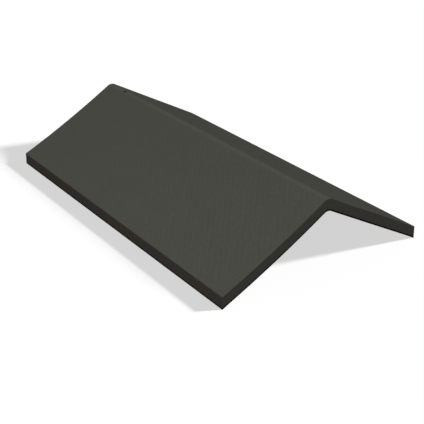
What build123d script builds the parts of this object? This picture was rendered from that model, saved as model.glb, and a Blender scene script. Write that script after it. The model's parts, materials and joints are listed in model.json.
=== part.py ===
from build123d import *
import os
from math import cos, radians, tan

# An angular ridge tile of cast concrete: two wings that meet in a rounded crest, one solid.
# X runs along the ridge, Y across it and Z up. The tile stands on the narrow flats under its two
# eaves, at z = 0, and the origin lies under its middle. The near wing is on the -Y side.

# Driving sizes, in millimetres and degrees
length = 450.0  # along the ridge
span = 268.0  # across both wings, from eave face to eave face
pitch = 28.5  # slope of each wing, measured along its chord
thickness = 13.0  # of a wing, square to its surface
crest_radius = 11.0  # outside of the crest
soffit_radius = 9.0  # inside of the crest
near_dish = 2.2  # how far the near wing sinks below its chord at mid width
foot_width = 0.6  # flat under the straight wing's eave
eave_arris = 0.7  # rounding of the upper edge of each eave
end_arris = 0.6  # rounding round both end faces
fixing_hole = 5.0  # bore for the fixing screw
hole_inset = 39.0  # from the end face to the middle of the bore

# Sizes that follow from them
half_span = span / 2
wall_height = thickness / cos(radians(pitch))  # plumb height of the wall
foot_rise = foot_width * tan(radians(pitch))  # how much of the sharp lower edge the foot takes off
eave_z = wall_height - foot_rise  # upper edge of an eave
apex_z = eave_z + half_span * tan(radians(pitch))  # where the two upper surfaces would meet
hole_x = hole_inset - length / 2


def cross_section():
    """Closed outline of the tile in the YZ plane: a chevron with plumb-cut eaves."""
    near_eave, apex, far_eave = (-half_span, eave_z), (0, apex_z), (half_span, eave_z)
    near_sole, soffit, far_sole = [(y, z - wall_height) for y, z in (near_eave, apex, far_eave)]
    outline = Curve() + [
        SagittaArc(near_eave, apex, -near_dish),
        Polyline(apex, far_eave, far_sole, soffit),
        SagittaArc(near_sole, soffit, -near_dish),
        Line(near_sole, near_eave),
    ]
    chevron = make_face(outline)
    for corner, radius in (
        (apex, crest_radius),
        (soffit, soffit_radius),
        (near_eave, eave_arris),
        (far_eave, eave_arris),
    ):
        vertex = chevron.vertices().sort_by_distance(corner)[0]
        chevron = fillet(vertex, radius)
    return chevron


def ridge_tile():
    """The section carried along the ridge, its ends eased, its feet levelled and the bore drilled."""
    tile = extrude(Plane.YZ * cross_section(), length / 2, both=True)
    end_faces = tile.faces().filter_by(Axis.X)
    tile = fillet(end_faces.edges(), end_arris)
    tile = split(tile, Plane.XY, keep=Keep.TOP)
    drill = Pos(hole_x, 0, apex_z - wall_height) * Cylinder(fixing_hole / 2, 4 * wall_height)
    return tile - drill


def main():
    os.makedirs("parts", exist_ok=True)
    tile = ridge_tile()
    tile.label = "ridge_tile"
    export_step(tile, "parts/ridge_tile.step")
    box = tile.bounding_box()
    print("low corner", box.min, "high corner", box.max, "volume in litres", tile.volume / 1e6)


main()
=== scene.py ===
import json
from math import cos, pi, radians, sin, tan

import bpy
import numpy as np
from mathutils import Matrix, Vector


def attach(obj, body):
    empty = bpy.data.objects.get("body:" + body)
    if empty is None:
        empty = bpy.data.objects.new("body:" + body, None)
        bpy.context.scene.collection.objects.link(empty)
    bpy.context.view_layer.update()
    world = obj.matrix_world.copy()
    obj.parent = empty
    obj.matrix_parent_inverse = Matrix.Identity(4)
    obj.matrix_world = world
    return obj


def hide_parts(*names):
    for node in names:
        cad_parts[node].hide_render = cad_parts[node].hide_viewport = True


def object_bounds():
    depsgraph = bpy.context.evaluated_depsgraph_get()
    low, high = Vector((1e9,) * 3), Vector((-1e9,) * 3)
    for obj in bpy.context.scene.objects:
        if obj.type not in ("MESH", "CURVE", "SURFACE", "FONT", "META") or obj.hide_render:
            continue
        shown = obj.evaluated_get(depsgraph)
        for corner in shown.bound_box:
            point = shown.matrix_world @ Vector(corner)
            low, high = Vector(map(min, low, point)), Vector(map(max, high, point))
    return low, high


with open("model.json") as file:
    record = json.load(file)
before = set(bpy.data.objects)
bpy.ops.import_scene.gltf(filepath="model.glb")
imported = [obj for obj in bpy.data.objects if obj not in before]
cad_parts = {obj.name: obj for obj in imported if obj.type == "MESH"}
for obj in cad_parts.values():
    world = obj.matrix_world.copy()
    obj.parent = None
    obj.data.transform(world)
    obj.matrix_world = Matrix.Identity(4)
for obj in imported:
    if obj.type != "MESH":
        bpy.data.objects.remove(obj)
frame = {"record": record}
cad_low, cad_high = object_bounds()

MM = 0.001  # the shape is worked out in millimetres and stored in metres

# The tile's section, as it is cast
pitch = radians(28.5)  # slope of each wing along its chord
thickness = 13.0  # of a wing, square to its surface
crest_radius = 11.0  # outside of the crest
soffit_radius = 9.0  # inside of the crest
near_dish = 2.2  # how far the near wing sinks below its chord
foot_width = 0.6  # flat under the straight wing's eave

wall_height = thickness / cos(pitch)  # plumb height of the wall
half_wall = wall_height / 2

# Its length, its span and its bore, from the frame
half_length = cad_high.x / MM
half_span = cad_high.y / MM
fixing_hole = next(mount for mount in frame["record"]["mounts"] if mount["name"] == "fixing_hole")
hole_x = fixing_hole["pos_m"][0] / MM
hole_radius = fixing_hole["dims"]["r_mm"]

eave_z = wall_height - foot_width * tan(pitch)  # upper edge of an eave
apex_z = eave_z + half_span * tan(pitch)  # where the two upper surfaces would meet

# How finely the skin is divided, in millimetres
cell = 2.0
wall_cell = 1.6
hole_cell = hole_radius / 4
hole_reach = 10 * hole_cell  # the grid is drawn into rings as far as this from the bore
edge_steps = np.array([0.0, 0.25, 0.55, 1.0, 1.7, 2.8])  # lines that follow each arris
wall_steps = edge_steps[:5]  # those of them that fit the wall

# How the arrises depart from sharp edges, in millimetres
upper_arris = 0.7
lower_arris = 0.35
rim_ease = 0.35  # how much the bore's rim opens
rim_depth = 0.7  # how far down the bore it does

# How the faces depart from the ideal shape: depths in millimetres, and the layers of noise that
# share each depth, every layer with its share, the size of its features and its seed
wave_depth = 0.16  # slow unevenness of the cast faces
wave_layers = ((0.7, 55.0, 1), (0.3, 19.0, 2))
grain_depth = 0.05  # fine wrinkles of the weather side and drag lines of the soffit
wrinkle_layers = ((0.6, 6.5, 3), (0.4, 4.2, 4))
drag_layers = ((1.0, (160.0, 5.0, 60.0), 5),)
cut_depth = 0.22  # roughness of the end faces
cut_layers = ((0.6, 6.0, 6), (0.4, 3.4, 7))
cut_facing = (4 / 15, 14 / 15)  # endward part of the normal at which it begins and is whole
arris_layers = ((0.30, 14.0, 11), (0.25, 5.0, 12))  # how far an arris's radius wanders, as shares of it
level_margin = 4.0  # the relief dies out over this height above the floor

# Where the coat is missing, and where a painted highlight with some wear lightens it. A face's normal
# says which side it is on.
coated_up = (0.05, 0.3)  # upward part of the normal at which the coat begins and is whole
end_facing = (0.3125, 0.9375)  # endward part at which a face begins to be an end face, and is one
end_bareness = 0.32
bore_bareness = 0.3
crest_up = (0.91, 0.995)  # upward part at which the crest's painted highlight and wear begin, and are strongest
arris_highlight_and_wear = 0.6  # painted highlight and wear of an upper arris, beside the crest's
highlight_and_wear_patch = 9.0  # size of the patches that the painted highlight and wear come in
highlight_and_wear_change = 0.2  # how much they change it

# Painted shade: a dark line along the lower arrises
shade_line_width = 2.5
shade_line_core = 0.7  # share of its width that is fully dark

# Ripples of the coat, which run askew over the tile and are strongest by the near end
ripple_angle = radians(40)  # from the ridge line, in plan
ripple_pitch = 5.8  # from one ripple to the next
ripple_bend = 5.0  # how far noise pushes the ripples out of line, in radians of their wave
bend_scale = 5.0  # how fine that noise is, beside the waves themselves
ripple_depth = 0.18
ripple_shading_tone = 0.032  # painted shade in a ripple's hollow and painted highlight on its crest: how much darker and lighter
far_share = 0.3  # how strong they are by the far end, beside the near end
far_x = -0.8 * half_length  # where that weakest stretch ends
near_x = 0.7 * half_length  # where the full strength begins

# Other patterns of the concrete: sizes in millimetres, tones as shares of the colour
mottle_size = 60.0
cloud_size = 14.0
slow_tone = 0.012  # of the mottle and of the clouds
dust_size = 0.9
dust_tone = 0.03
coat_ragged = 0.12  # how far the ripples move the coat's edge
coat_edge = (0.1, 0.9)  # bareness at which the coat begins to give way, and is gone
sand_spacing = 2.2
sand_edge = (0.12, 0.2)  # a grain fades out between these shares of the spacing
sand_showing = (0.12, 0.45)  # through the coat, and on bare concrete
pore_spacing = 6.5
pore_edge = (0.07, 0.12)
pore_showing = (0.15, 0.7)
grit_depth = 0.06
grit_strength = 0.5
sand_height = 0.4  # of a grain, beside the dust's
pore_sink = 2.0  # of a pore
roughness_range = (0.84, 0.92)

# Colours, as linear values
coat_colour = (0.0658, 0.0675, 0.0567)
bare_colour = (0.0634, 0.0530, 0.0463)
highlight_and_wear_colour = (0.0719, 0.0736, 0.0622)
sand_colour = (0.105, 0.100, 0.086)
pore_colour = (0.026, 0.024, 0.021)
shade_line_colour = (0.004, 0.003, 0.0025)

# Floor and glow: the floor's light is partly even and partly from the lamp behind the tile
floor_half = 6.0
shadow_share = 0.367  # how much of the floor's light the lamp behind gives
floor_paint = 0.8
floor_paint_dim = 0.3  # the same paint, as the tile sees it
bounce = 0.73  # how bright the evenly lit part of the floor is to the tile
glow_strength = 0.10

# Lamps: a wide soft light from above and a soft box beside the near eave for the tile, and a lamp
# behind the tile for its shadow on the floor
sun_distance = 2.0
top_direction = (0.085, 0.0, 1.0)
top_power = 2.386
top_spread = radians(30)
box_direction = (0.408, -0.652, 0.782)
box_distance = 1.1
box_side = 0.5
box_power = 2.26
back_direction = (0.40, 0.79, 0.45)
back_power = 8.0
back_spread = radians(6.5)

# Camera: where its axis meets the scene, how far off it stands, and its lens
aim = Vector((0.0687, -0.0367, 0.0179))
camera_distance = 1.1074
camera_azimuth = radians(54.933)
camera_elevation = radians(26.19)
camera_lens = 81.25
sensor_width = 36.0


def fade(value, span):
    """0 up to the span's first number, 1 from its second, and a straight climb between."""
    low, high = span
    return np.clip((value - low) / (high - low), 0, 1)


def smooth_noise(points, size, seed):
    """Value noise from -1 to 1: random numbers on a cubic lattice with the given spacing, joined
    between lattice points by the smooth step 3t^2 - 2t^3 along each axis."""
    count = 64
    lattice = np.random.default_rng(seed).uniform(-1, 1, (count, count, count))
    place = points / np.broadcast_to(size, 3)
    corner = np.floor(place).astype(int)
    share = place - corner
    share = share * share * (3 - 2 * share)
    total = np.zeros(len(points))
    for offset in np.ndindex(2, 2, 2):
        weight = np.prod(np.where(offset, share, 1 - share), axis=1)
        total += weight * lattice[tuple(((corner + offset) % count).T)]
    return total


def layered_noise(points, layers):
    """The sum of several smooth noises, each times its share."""
    return sum(share * smooth_noise(points, size, seed) for share, size, seed in layers)


def hollows(points, layers):
    """Layered noise moved from the range -1 to 1 into the range 0 to 1, as a share of a depth."""
    return (layered_noise(points, layers) + 1) / 2


def face_height(y, drop, radius):
    """Height of the weather side at y, or of the soffit, which is the same line lowered by drop. The
    near wing is an arc that sinks near_dish below its chord, the far wing is straight, and between
    them runs a circle that touches both from below."""
    chord = half_span / cos(pitch)
    dish_radius = chord ** 2 / (8 * near_dish) + near_dish / 2
    dish_y = -half_span / 2 - sin(pitch) * (dish_radius - near_dish)
    dish_z = (eave_z + apex_z) / 2 - drop + cos(pitch) * (dish_radius - near_dish)
    # The crest circle's middle lies radius below the straight wing and radius outside the dish.
    level = apex_z - drop - radius / cos(pitch) - dish_z
    slope = tan(pitch)
    a = 1 + slope ** 2
    b = dish_y + level * slope
    c = dish_y ** 2 + level ** 2 - (dish_radius + radius) ** 2
    crest_y = (b + (b ** 2 - a * c) ** 0.5) / a
    crest_z = level + dish_z - crest_y * slope
    near_end = dish_y + (crest_y - dish_y) * dish_radius / (dish_radius + radius)
    far_end = crest_y + radius * sin(pitch)
    near_wing = dish_z - np.sqrt(dish_radius ** 2 - (y - dish_y) ** 2)
    far_wing = apex_z - drop - y * slope
    crest = crest_z + np.sqrt(np.maximum(radius ** 2 - (y - crest_y) ** 2, 0))
    return np.select([y < near_end, y > far_end], [near_wing, far_wing], crest)


def spaced(start, stop, step):
    """Evenly spaced values from start to stop, about step apart."""
    return np.linspace(start, stop, max(2, int(round(abs(stop - start) / step)) + 1))


def side_lines(half, middle):
    """Lines across a side from -half to half: close together at both arrises and round the bore,
    whose middle is given, and cell apart elsewhere."""
    first = -half + edge_steps
    last = half - edge_steps[::-1]
    around = spaced(middle - hole_reach, middle + hole_reach, hole_cell)
    left = spaced(first[-1], around[0], cell)[1:-1]
    right = spaced(around[-1], last[0], cell)[1:-1]
    return np.concatenate([first, left, around, right, last])


def wall_lines():
    """Lines through the wall, from -half_wall at the soffit to half_wall at the weather side: close
    together at both arrises and wall_cell apart between."""
    lower = -half_wall + wall_steps
    upper = half_wall - wall_steps[::-1]
    return np.concatenate([lower, spaced(lower[-1], upper[0], wall_cell)[1:-1], upper])


def sheet_of_cells(first, second, fixed, order, flip, keep=None):
    """Quads of one side of the lattice, each as the line numbers of its four corners. first and second
    are the running line numbers, fixed is the side's own, and order says which axis each of the three
    stands for. Flipped quads run the other way round, so they face the other way."""
    u, v = np.meshgrid(first, second, indexing="ij")
    low, high = slice(None, -1), slice(1, None)
    ways = [(low, low), (high, low), (high, high), (low, high)]
    if flip:
        ways.reverse()
    corners = []
    for way in ways:
        numbers = (u[way], v[way], np.full_like(u[way], fixed))
        corners.append(np.stack([numbers[order.index(axis)] for axis in range(3)], -1))
    quads = np.stack(corners, 2).reshape(-1, 4, 3)
    return quads if keep is None else quads[keep.ravel()]


def skin_quads(xs, ys, ws):
    """Quads of the lattice's six sides, less those over the bore, and of the bore's four walls."""
    nx, ny, nw = len(xs), len(ys), len(ws)
    every_x, every_y, every_w = np.arange(nx), np.arange(ny), np.arange(nw)
    hole_i = np.flatnonzero(np.abs(xs - hole_x) < hole_radius + hole_cell / 2)
    hole_j = np.flatnonzero(np.abs(ys) < hole_radius + hole_cell / 2)
    solid = np.ones((nx - 1, ny - 1), bool)
    solid[np.ix_(hole_i[:-1], hole_j[:-1])] = False
    flat, end, eave = [0, 1, 2], [1, 2, 0], [2, 0, 1]  # the axes that a sheet's numbers stand for
    return np.concatenate([
        sheet_of_cells(every_x, every_y, nw - 1, flat, False, solid),
        sheet_of_cells(every_x, every_y, 0, flat, True, solid),
        sheet_of_cells(every_y, every_w, nx - 1, end, False),
        sheet_of_cells(every_y, every_w, 0, end, True),
        sheet_of_cells(every_w, every_x, ny - 1, eave, False),
        sheet_of_cells(every_w, every_x, 0, eave, True),
        sheet_of_cells(hole_j, every_w, hole_i[-1], end, True),
        sheet_of_cells(hole_j, every_w, hole_i[0], end, False),
        sheet_of_cells(every_w, hole_i, hole_j[-1], eave, True),
        sheet_of_cells(every_w, hole_i, hole_j[0], eave, False),
    ])


def rings_round_bore(box):
    """A square ring at distance c from the bore's axis becomes a circle of radius c at the bore, and
    less and less so out to hole_reach. The circle opens at both rims, with the square of the nearness."""
    across = box[:, :2] - (hole_x, 0.0)
    ring = np.abs(across).max(1)
    radius = np.maximum(np.hypot(*across.T), 1e-9)
    pull = np.clip((hole_reach - ring) / (hole_reach - hole_radius), 0, 1)
    depth = half_wall - np.abs(box[:, 2])
    opening = rim_ease * np.clip(1 - depth / rim_depth, 0, 1) ** 2
    scale = 1 + pull * ((ring + opening * pull) / radius - 1)
    return np.column_stack([across * scale[:, None] + (hole_x, 0.0), box[:, 2]])


def round_arrises(box):
    """Rounded box: a point is drawn onto the ball of the arris radius round the nearest point of the
    box that is smaller by that radius all round. The radius wanders a little along each arris. The
    direction from that nearest point comes back too."""
    half = np.array([half_length, half_span, half_wall])
    wander = 1 + layered_noise(box, arris_layers)
    radius = (np.where(box[:, 2] > 0, upper_arris, lower_arris) * wander)[:, None]
    inner = np.clip(box, radius - half, half - radius)
    out = box - inner
    far = np.maximum(np.linalg.norm(out, axis=1, keepdims=True), 1e-9)
    return inner + radius * out / far, out / far


def bend_to_section(box):
    """The wall coordinate becomes the height between the soffit and the weather side, and what would
    reach below the floor is the foot's flat."""
    share = (box[:, 2] / half_wall + 1) / 2
    top = face_height(box[:, 1], 0.0, crest_radius)
    under = face_height(box[:, 1], wall_height, soffit_radius)
    height = np.maximum(under + (top - under) * share, 0.0)
    return np.column_stack([box[:, :2], height])


def arris_nearness(box, facing):
    """How near a point faces to halfway between two sides of the box, on its upper half: 1 less the
    largest part of its direction, over what that is at 45 degrees."""
    return np.where(box[:, 2] > 0, 1 - np.abs(facing).max(1), 0) / (1 - 0.5 ** 0.5)


def sole_distance(box):
    """How far a point is from the lower arrises, in millimetres: the distance up a side face plus the
    distance in from it."""
    up = box[:, 2] + half_wall
    inward = np.minimum(half_length - np.abs(box[:, 0]), half_span - np.abs(box[:, 1]))
    return up + inward


def tile_mesh():
    """The tile's skin. A box-shaped lattice of x, y and wall lines gives quads. Its points are then
    bent: square rings round the bore become circles, arrises become round, and the wall's height
    becomes the section. Back come the points, the faces, which points are inside the bore, how near
    each is to an upper arris and how far from the lower ones."""
    xs, ys, ws = side_lines(half_length, hole_x), side_lines(half_span, 0.0), wall_lines()
    nx, ny, nw = len(xs), len(ys), len(ws)
    quads = skin_quads(xs, ys, ws)
    keys = (quads[..., 0] * ny + quads[..., 1]) * nw + quads[..., 2]
    used, faces = np.unique(keys, return_inverse=True)
    i, j, k = used // (ny * nw), used // nw % ny, used % nw
    on_skin = (i == 0) | (i == nx - 1) | (j == 0) | (j == ny - 1) | (k == 0) | (k == nw - 1)

    box = rings_round_bore(np.stack([xs[i], ys[j], ws[k]], 1))
    rounded, facing = round_arrises(box)
    points = bend_to_section(np.where(on_skin[:, None], rounded, box))
    on_arris = np.where(on_skin, arris_nearness(box, facing), 0)
    from_sole = np.where(on_skin, sole_distance(box), wall_height)
    return points, faces.reshape(-1, 4), ~on_skin, on_arris, from_sole


def relief(points, normals):
    """How deep each point lies under the ideal face: slow waves everywhere, fine wrinkles where the
    face looks up, drag lines along the soffit and a rough break on the end faces."""
    up = np.clip(normals[:, 2], 0, 1)
    down = np.clip(-normals[:, 2], 0, 1)
    end = fade(np.abs(normals[:, 0]), cut_facing)
    depth = wave_depth * hollows(points, wave_layers)
    depth += grain_depth * hollows(points, wrinkle_layers) * up
    depth += grain_depth * hollows(points, drag_layers) * down
    depth += cut_depth * hollows(points, cut_layers) * end
    return depth * fade(points[:, 2], (0.0, level_margin))


def bareness(normals, in_bore):
    """How little coating a point has: none missing on the weather side, some on the end faces and in
    the bore, and all of it on the plumb eave faces and the soffit."""
    up = fade(normals[:, 2], coated_up)
    end = fade(np.abs(normals[:, 0]), end_facing)
    bare = (1 - up) * (1 - (1 - end_bareness) * end)
    return np.where(in_bore, bore_bareness, bare)


def highlight_and_wear_amount(points, normals, on_arris):
    """How much painted highlight and wear a point has, from 0 to 1: most on the crest, where the face
    looks straight up towards the light from above, and less along the upper arrises, in patches."""
    crest = fade(normals[:, 2], crest_up)
    patch = 1 - highlight_and_wear_change + highlight_and_wear_change * smooth_noise(points, highlight_and_wear_patch, 8)
    return np.maximum(crest, arris_highlight_and_wear * on_arris) * patch


def make_tile():
    """The tile as one mesh object: the skin, sunk along its normals by the relief, which leaves the
    bore round. Its bareness, its painted highlight and wear and the distance from its lower arrises are
    attributes."""
    points, faces, in_bore, on_arris, from_sole = tile_mesh()
    mesh = bpy.data.meshes.new("cast_tile")
    mesh.from_pydata(points * MM, [], faces)
    normals = np.zeros(len(points) * 3, np.float32)
    mesh.vertices.foreach_get("normal", normals)
    normals = normals.reshape(-1, 3)
    sunk = points - normals * (relief(points, normals) * ~in_bore)[:, None]
    mesh.vertices.foreach_set("co", (sunk * MM).astype(np.float32).ravel())
    values = {
        "bare": bareness(normals, in_bore),
        "highlight_and_wear": highlight_and_wear_amount(points, normals, on_arris),
        "from_sole": from_sole,
    }
    for name, value in values.items():
        attribute = mesh.attributes.new(name, "FLOAT", "POINT")
        attribute.data.foreach_set("value", value.astype(np.float32))
    mesh.polygons.foreach_set("use_smooth", np.ones(len(faces), bool))
    mesh.update()
    mesh.materials.append(concrete())
    tile = bpy.data.objects.new("cast_tile", mesh)
    bpy.context.scene.collection.objects.link(tile)
    return tile


class Nodes:
    """The node tree of a material or a world, with one short call for each kind of node."""

    def __init__(self, owner):
        self.owner = owner
        self.owner.use_nodes = True
        self.tree = self.owner.node_tree
        self.tree.nodes.clear()

    def add(self, kind, **inputs):
        """A node of this kind, with its inputs linked or set by name."""
        node = self.tree.nodes.new(kind)
        for name, value in inputs.items():
            self.set(node, name.replace("_", " "), value)
        return node

    def set(self, node, socket, value):
        """Links an output to the socket, or sets the socket to a plain value."""
        target = node.inputs[socket]
        if isinstance(value, bpy.types.NodeSocket):
            self.tree.links.new(value, target)
        else:
            target.default_value = value

    def mix_shader(self, share, first, second):
        """The first shader, with this share of the second."""
        node = self.tree.nodes.new("ShaderNodeMixShader")
        self.set(node, 0, share)
        self.set(node, 1, first)
        self.set(node, 2, second)
        return node.outputs[0]

    def direct_ray(self):
        """1 for what the camera sees, itself or in a mirror or through glass, and otherwise 0."""
        path = self.add("ShaderNodeLightPath")
        seen = self.math("MAXIMUM", path.outputs["Is Camera Ray"], path.outputs["Is Glossy Ray"])
        return self.math("MAXIMUM", seen, path.outputs["Is Transmission Ray"])

    def attribute(self, name):
        """The value that the mesh carries under this name."""
        node = self.tree.nodes.new("ShaderNodeAttribute")
        node.attribute_name = name
        return node.outputs["Fac"]

    def turned(self, place, angle):
        """The place in axes that are turned by this angle about Z."""
        node = self.add("ShaderNodeMapping", Vector=place)
        node.vector_type = "TEXTURE"
        node.inputs["Rotation"].default_value = (0, 0, angle)
        return node.outputs["Vector"]

    def noise(self, place, size, detail):
        """Noise whose features are about size millimetres across."""
        node = self.add("ShaderNodeTexNoise", Vector=place, Scale=1 / (size * MM), Detail=detail)
        return node.outputs["Fac"]

    def ripples(self, place, spacing, bend):
        """Bands across Y, spacing millimetres apart, whose phase noise of like size pushes about."""
        turns = 20 / (2 * pi)  # waves in one unit of the texture at scale 1
        node = self.add("ShaderNodeTexWave", Vector=place, Distortion=bend)
        node.bands_direction = "Y"
        node.inputs["Scale"].default_value = 1 / (turns * spacing * MM)
        node.inputs["Detail"].default_value = 0.0
        node.inputs["Detail Scale"].default_value = bend_scale
        return node.outputs["Fac"]

    def spots(self, place, spacing, edge):
        """1 within edge's first share of the spacing from the nearest of scattered points that lie
        about spacing millimetres apart, 0 past its second share, and a straight change between."""
        node = self.add("ShaderNodeTexVoronoi", Vector=place, Scale=1 / (spacing * MM))
        return self.ramp(node.outputs["Distance"], edge, (1.0, 0.0))

    def ramp(self, value, span, result=(0.0, 1.0)):
        """result's first number up to span's first, its second from span's second, and a straight
        change between."""
        node = self.add("ShaderNodeMapRange", Value=value)
        for socket, number in zip(("From Min", "From Max", "To Min", "To Max"), (*span, *result)):
            node.inputs[socket].default_value = number
        return node.outputs["Result"]

    def swing(self, noise, low, high):
        """From low to high as the noise goes over its usual range, which is 0.3 to 0.7."""
        return self.ramp(noise, (0.3, 0.7), (low, high))

    def math(self, kind, first, second):
        """One operation on two values."""
        node = self.tree.nodes.new("ShaderNodeMath")
        node.operation = kind
        self.set(node, 0, first)
        self.set(node, 1, second)
        return node.outputs[0]

    def blend(self, share, first, second):
        """The first colour, with this share of the second. The second is plain numbers."""
        node = self.tree.nodes.new("ShaderNodeMix")
        node.data_type = "RGBA"
        self.set(node, 0, share)
        self.set(node, 6, first if isinstance(first, bpy.types.NodeSocket) else (*first, 1))
        self.set(node, 7, (*second, 1))
        return node.outputs[2]

    def scaled(self, colour, factor):
        """The colour times the factor."""
        node = self.tree.nodes.new("ShaderNodeVectorMath")
        node.operation = "SCALE"
        self.set(node, 0, colour)
        self.set(node, "Scale", factor)
        return node.outputs[0]


def concrete():
    """Dark concrete with a thin matt coat on its weather side. Where the attribute bare says so, the
    coat gives way to browner concrete with more sand and pores showing. A painted highlight lightens the
    crest and upper arrises, and a painted shade line darkens the lower arrises. The tone is 1 plus the
    slow patterns, plus the ripples' painted shade and highlight and the dust times their strength, which
    grows towards the near end."""
    n = Nodes(bpy.data.materials.new("dark_concrete"))
    place = n.add("ShaderNodeTexCoord").outputs["Object"]
    mottle = n.noise(place, mottle_size, 3.0)
    cloud = n.noise(place, cloud_size, 3.0)
    dust = n.noise(place, dust_size, 2.0)
    ripple = n.ripples(n.turned(place, -ripple_angle), ripple_pitch, ripple_bend)
    x = n.add("ShaderNodeSeparateXYZ", Vector=place).outputs["X"]
    strength = n.ramp(x, (far_x * MM, near_x * MM), (far_share, 1.0))
    sand = n.spots(place, sand_spacing, sand_edge)
    pores = n.spots(place, pore_spacing, pore_edge)

    ragged = n.swing(ripple, -coat_ragged, coat_ragged)
    bare = n.ramp(n.math("ADD", n.attribute("bare"), ragged), coat_edge)
    # Painted highlight, with some wear: lighter where the crest looks up and along the upper arrises.
    colour = n.blend(n.attribute("highlight_and_wear"), coat_colour, highlight_and_wear_colour)
    colour = n.blend(bare, colour, bare_colour)
    colour = n.blend(n.math("MULTIPLY", sand, n.ramp(bare, (0, 1), sand_showing)), colour, sand_colour)
    colour = n.blend(n.math("MULTIPLY", pores, n.ramp(bare, (0, 1), pore_showing)), colour, pore_colour)
    # Painted shade: a dark line along the lower arrises, fully dark over the core of its width and fading
    # out beyond.
    shade_line_span = (shade_line_core * shade_line_width, shade_line_width)
    colour = n.blend(n.ramp(n.attribute("from_sole"), shade_line_span, (1.0, 0.0)), colour, shade_line_colour)

    slow = n.math("ADD", n.swing(mottle, -slow_tone, slow_tone), n.swing(cloud, -slow_tone, slow_tone))
    # The ripples' tone is painted shade in their hollows and painted highlight on their crests.
    fine = n.math("ADD", n.swing(ripple, -ripple_shading_tone, ripple_shading_tone), n.swing(dust, -dust_tone, dust_tone))
    tone = n.math("ADD", n.math("ADD", slow, n.math("MULTIPLY", fine, strength)), 1.0)

    raised = n.math("MULTIPLY", ripple, strength)
    rippled = n.add("ShaderNodeBump", Strength=1.0, Distance=ripple_depth * MM, Height=raised)
    grit = n.math("ADD", dust, n.math("MULTIPLY", sand, sand_height))
    grit = n.math("SUBTRACT", grit, n.math("MULTIPLY", pores, pore_sink))
    gritty = n.add("ShaderNodeBump", Strength=grit_strength, Distance=grit_depth * MM, Height=grit)
    n.set(gritty, "Normal", rippled.outputs[0])

    shader = n.add("ShaderNodeBsdfPrincipled", Normal=gritty.outputs[0])
    n.set(shader, "Base Color", n.scaled(colour, tone))
    n.set(shader, "Roughness", n.swing(cloud, *roughness_range))
    shader.inputs["Specular IOR Level"].default_value = 0.0
    n.add("ShaderNodeOutputMaterial", Surface=shader.outputs[0])
    return n.owner


def make_floor():
    """A wide pale floor at the tile's feet: part of its light is even and part comes from the lamp
    behind, which the tile shades. What it gives back to the tile is dimmer than what the camera sees."""
    half = floor_half
    corners = [(-half, -half, 0), (half, -half, 0), (half, half, 0), (-half, half, 0)]
    mesh = bpy.data.meshes.new("floor")
    mesh.from_pydata(corners, [], [(0, 1, 2, 3)])
    floor = bpy.data.objects.new("floor", mesh)
    bpy.context.scene.collection.objects.link(floor)
    n = Nodes(bpy.data.materials.new("pale_floor"))
    even = n.add("ShaderNodeEmission", Color=(1, 1, 1, 1))
    pale = n.add("ShaderNodeBsdfDiffuse", Color=(*[floor_paint] * 3, 1))
    even_dim = n.add("ShaderNodeEmission", Color=(*[bounce] * 3, 1))
    pale_dim = n.add("ShaderNodeBsdfDiffuse", Color=(*[floor_paint_dim] * 3, 1))
    seen = n.mix_shader(shadow_share, even.outputs[0], pale.outputs[0])
    given = n.mix_shader(shadow_share, even_dim.outputs[0], pale_dim.outputs[0])
    n.add("ShaderNodeOutputMaterial", Surface=n.mix_shader(n.direct_ray(), given, seen))
    mesh.materials.append(n.owner)
    return floor


def make_world():
    """An even studio glow, white where the camera sees it."""
    n = Nodes(bpy.data.worlds.new("studio"))
    white = n.add("ShaderNodeBackground", Color=(1, 1, 1, 1))
    glow = n.add("ShaderNodeBackground", Color=(1, 1, 1, 1), Strength=glow_strength)
    surface = n.mix_shader(n.direct_ray(), glow.outputs[0], white.outputs[0])
    n.add("ShaderNodeOutputWorld", Surface=surface)
    bpy.context.scene.world = n.owner


def aimed_lamp(name, kind, direction, distance):
    """A lamp that stands this far off in the given direction from the tile and shines back at it."""
    light = bpy.data.lights.new(name, kind)
    lamp = bpy.data.objects.new(name, light)
    bpy.context.scene.collection.objects.link(lamp)
    towards = Vector(direction).normalized()
    lamp.location = towards * distance
    lamp.rotation_mode = "QUATERNION"
    lamp.rotation_quaternion = (-towards).to_track_quat("-Z", "Y")
    lamp.visible_camera = False
    return lamp


def make_lights(tile, floor):
    """Two lights fall on the tile alone, and the lamp behind it falls on the floor alone."""
    tile_only = bpy.data.collections.new("tile_only")
    tile_only.objects.link(tile)
    floor_only = bpy.data.collections.new("floor_only")
    floor_only.objects.link(floor)
    top = aimed_lamp("top_light", "SUN", top_direction, sun_distance)
    top.data.energy = top_power
    top.data.angle = top_spread
    box = aimed_lamp("soft_box", "AREA", box_direction, box_distance)
    box.data.size = box_side
    box.data.energy = box_power
    back = aimed_lamp("shadow_lamp", "SUN", back_direction, sun_distance)
    back.data.energy = back_power
    back.data.angle = back_spread
    for lamp, group in ((top, tile_only), (box, tile_only), (back, floor_only)):
        lamp.light_linking.receiver_collection = group


def line_of_sight():
    """Direction from the tile to the camera. Azimuth 0 stands on -Y and turns towards +X."""
    return Vector((
        sin(camera_azimuth) * cos(camera_elevation),
        -cos(camera_azimuth) * cos(camera_elevation),
        sin(camera_elevation),
    ))


def make_camera():
    """The camera stands on the photograph's line of sight."""
    data = bpy.data.cameras.new("camera")
    data.lens = camera_lens
    data.sensor_width = sensor_width
    camera = bpy.data.objects.new("camera", data)
    bpy.context.scene.collection.objects.link(camera)
    camera.location = aim + line_of_sight() * camera_distance
    camera.rotation_mode = "QUATERNION"
    camera.rotation_quaternion = (-line_of_sight()).to_track_quat("-Z", "Y")
    bpy.context.scene.camera = camera


make_camera()
tile = make_tile()
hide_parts("ridge_tile")
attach(tile, "root")
make_world()
make_lights(tile, make_floor())
bpy.context.scene.view_settings.view_transform = "Standard"
